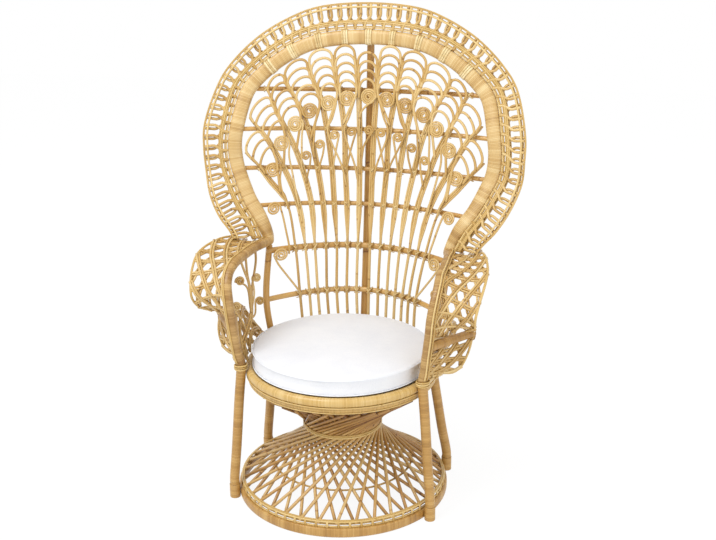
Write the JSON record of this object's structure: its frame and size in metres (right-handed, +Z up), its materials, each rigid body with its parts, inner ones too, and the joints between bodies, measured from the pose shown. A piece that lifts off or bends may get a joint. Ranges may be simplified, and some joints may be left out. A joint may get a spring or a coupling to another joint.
{
  "type": "peacock armchair",
  "caption": "Rattan armchair with a tall fan-shaped back, lattice arm flares, a round seat with a loose cushion, and a waisted woven pedestal.",
  "frame": {"origin": "on the floor, under the middle of the chair's width and depth", "axes": "+Z up, -Y the side that the sitter faces, +X the chair's side that is at the right when it is seen from the front"},
  "size_m": [1.0566, 0.7714, 1.4999],
  "materials": {
    "rattan": "varnished cane",
    "wrapping": "varnished peel wrapping",
    "pole": "varnished pole",
    "cotton": "plain woven cover"
  },
  "bodies": {
    "chair": {"arm_flare_left": "rattan", "arm_flare_right": "rattan", "arm_frame_left": "wrapping", "arm_frame_right": "wrapping", "arm_plume_left": "rattan", "arm_plume_right": "rattan", "back_arch": "wrapping", "back_rung_1": "rattan", "back_rung_2": "rattan", "back_rung_3": "rattan", "back_rung_4": "rattan", "back_rung_5": "rattan", "back_rung_6": "rattan", "base_band": "wrapping", "border_back_strand": "rattan", "border_front_strand": "rattan", "centre_post": "pole", "cross_bar_left": "wrapping", "cross_bar_right": "wrapping", "front_foot_left": "wrapping", "front_foot_right": "wrapping", "front_joint_binding_left": "rattan", "front_joint_binding_right": "rattan", "front_leg_left": "pole", "front_leg_right": "pole", "inner_spindles": "rattan", "outer_hoop": "rattan", "outer_spindles": "rattan", "rear_foot_left": "wrapping", "rear_foot_right": "wrapping", "rear_leg_left": "pole", "rear_leg_right": "pole", "rear_post_left": "pole", "rear_post_right": "pole", "seat_deck": "rattan", "seat_hoop_lower": "wrapping", "seat_hoop_upper": "wrapping", "spoke_1_left": "rattan", "spoke_1_right": "rattan", "spoke_2_left": "rattan", "spoke_2_right": "rattan", "spoke_3_left": "rattan", "spoke_3_right": "rattan", "spoke_4_left": "rattan", "spoke_4_right": "rattan", "spoke_5_left": "rattan", "spoke_5_right": "rattan", "spoke_6_left": "rattan", "spoke_6_right": "rattan", "spoke_7_left": "rattan", "spoke_7_right": "rattan", "stiffening_hoop": "rattan", "waist_ring": "rattan"},
    "cushion": {"cushion": "cotton"}
  },
  "joints": [
    {"name": "cushion_lift", "type": "slide", "parent": "chair", "child": "cushion", "axis": [0, 0, 1], "range_m": [0, 0.3]}
  ]
}
